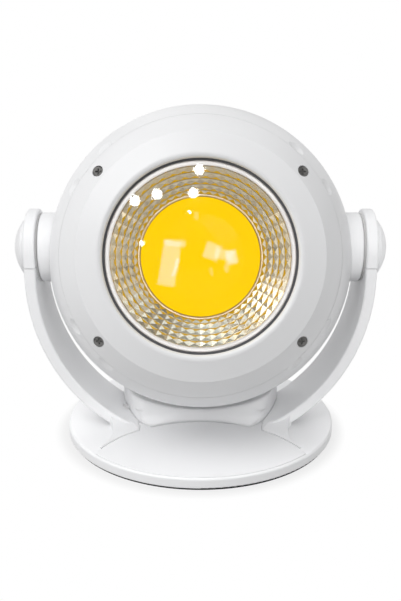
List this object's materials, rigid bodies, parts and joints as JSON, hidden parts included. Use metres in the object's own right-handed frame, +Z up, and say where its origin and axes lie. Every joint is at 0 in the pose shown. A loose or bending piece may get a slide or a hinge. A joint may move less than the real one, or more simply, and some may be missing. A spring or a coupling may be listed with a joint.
{
  "type": "star projector",
  "caption": "Ball-shaped projector lamp with a faceted reflector and domed emitter lens, tilting between the arms of a white yoke on a round weighted base.",
  "frame": {"origin": "middle of the flat foot, on the table", "axes": "+Z up, the lamp faces -Y, +X along the tilt axis to the right seen from the front"},
  "size_m": [0.1598, 0.1234, 0.1447],
  "materials": {
    "white_plastic": "satin moulded",
    "pad_rubber": "matt foam rubber",
    "steel": "zinc plated",
    "dark_screw": "black oxide",
    "circuit_board": "solder mask",
    "black_parts": "moulded",
    "socket_steel": "nickel plated",
    "brass": "turned",
    "lead_jacket": "soft jacket",
    "seal_rubber": "smooth rubber",
    "clear_cover": "clear polished",
    "silvered_plastic": "vacuum metallised",
    "tan_plastic": "moulded",
    "lens_glass": "clear polished",
    "phosphor": "phosphor-filled silicone",
    "aluminium": "extruded",
    "thermal_rubber": "soft pad"
  },
  "bodies": {
    "stand": {"foot_pad": "pad_rubber", "ballast_plate": "steel", "base_shell": "white_plastic", "front_panel": "white_plastic", "yoke": "white_plastic", "ear_cap_left": "white_plastic", "ear_cap_right": "white_plastic", "ear_screws": "steel", "cradle_housing": "white_plastic", "pivot_cover_left": "white_plastic", "pivot_cover_right": "white_plastic", "base_screws": "steel", "driver_board": "circuit_board", "board_screws": "steel", "board_parts": "black_parts", "power_socket": "socket_steel", "switch_board": "circuit_board", "tact_switch": "black_parts", "pivot_bush_left": "brass", "pivot_bush_right": "brass", "friction_washer_left": "black_parts", "friction_washer_right": "black_parts", "spring_washer_left": "steel", "spring_washer_right": "steel", "arm_lead": "lead_jacket"},
    "head": {"front_bezel": "white_plastic", "bezel_screws": "dark_screw", "lens_seal": "seal_rubber", "front_lens": "clear_cover", "lens_ring": "white_plastic", "reflector": "silvered_plastic", "lens_holder": "tan_plastic", "dome_lens": "lens_glass", "led_emitter": "phosphor", "led_board": "aluminium", "thermal_pad": "thermal_rubber", "led_screws": "steel", "heat_sink": "aluminium", "heat_sink_screws": "steel", "body_shell": "white_plastic", "rear_shell": "white_plastic", "rear_screws": "dark_screw", "led_lead": "lead_jacket", "pivot_drum_left": "white_plastic", "pivot_drum_right": "white_plastic", "pivot_bolt_left": "steel", "pivot_bolt_right": "steel", "pivot_nut_left": "brass", "pivot_nut_right": "brass"},
    "button": {"power_button": "white_plastic"}
  },
  "joints": [
    {"name": "head_tilt", "type": "hinge", "parent": "stand", "child": "head", "pos_m": [0, 0, 0.0844], "axis": [-1, 0, 0], "range_deg": [-45, 75]},
    {"name": "button_press", "type": "slide", "parent": "stand", "child": "button", "axis": [0, -1, 0], "range_m": [0, 0.001], "stiffness_N_per_m": 500}
  ]
}
